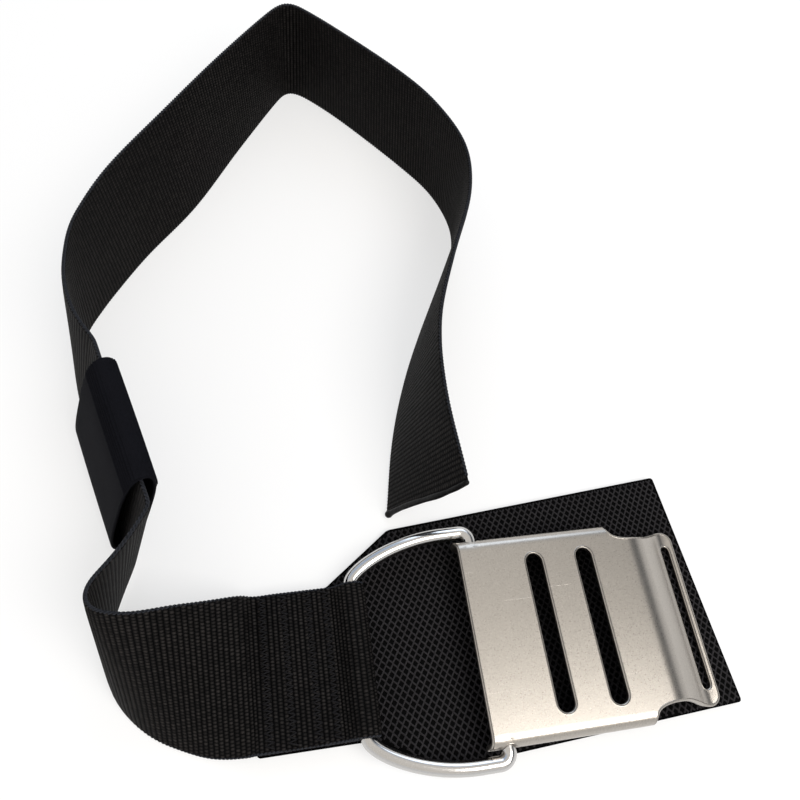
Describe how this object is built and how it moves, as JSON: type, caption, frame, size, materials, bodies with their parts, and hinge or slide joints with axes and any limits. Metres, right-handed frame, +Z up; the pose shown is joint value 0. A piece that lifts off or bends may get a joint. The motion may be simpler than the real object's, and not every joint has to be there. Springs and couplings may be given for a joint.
{
  "type": "webbing strap with cam buckle",
  "caption": "Flat webbing strap sewn round a wire bail that carries a hinged, slotted cam buckle plate, with a sliding elastic keeper and a flat non-slip pad under the buckle.",
  "frame": {"origin": "on the pad's underside, on the buckle's centre line, 5 mm from the pivot axis towards the loop bar", "axes": "+X from the loop bar towards the lever's tip, +Y towards the strap's loop, +Z up from the surface the pad lies on"},
  "size_m": [0.2356, 0.327, 0.0526],
  "materials": {
    "webbing": "matte black woven nylon",
    "thread": "black sewing thread",
    "polished_steel": "polished stainless wire",
    "satin_steel": "tumbled satin stainless sheet",
    "pad_backing": "matte black grip sheet",
    "pad_core": "matte black foam",
    "pad_mesh": "black raised diamond mesh",
    "elastic": "fine matte black elastic"
  },
  "bodies": {
    "belt": {"webbing": "webbing", "pad_backing": "pad_backing", "pad_core": "pad_core", "pad_face": "pad_mesh", "stitch_row_1": "thread", "stitch_row_2": "thread", "stitch_row_3": "thread", "stitch_row_4": "thread"},
    "bail": {"bail": "polished_steel"},
    "buckle": {"buckle_plate": "satin_steel"},
    "keeper": {"keeper": "elastic", "keeper_seam": "thread"}
  },
  "joints": [
    {"name": "bail_swing", "type": "hinge", "parent": "belt", "child": "bail", "pos_m": [-0.04, 0, 0.0081], "axis": [0, -1, 0], "range_deg": [0, 40]},
    {"name": "buckle_flip", "type": "hinge", "parent": "bail", "child": "buckle", "pos_m": [0.005, 0, 0.01038], "axis": [0, -1, 0], "range_deg": [0, 155]},
    {"name": "keeper_slide", "type": "slide", "parent": "belt", "child": "keeper", "axis": [-0.2876, 0.9577, 0], "range_m": [-0.0025, 0.0025]}
  ]
}
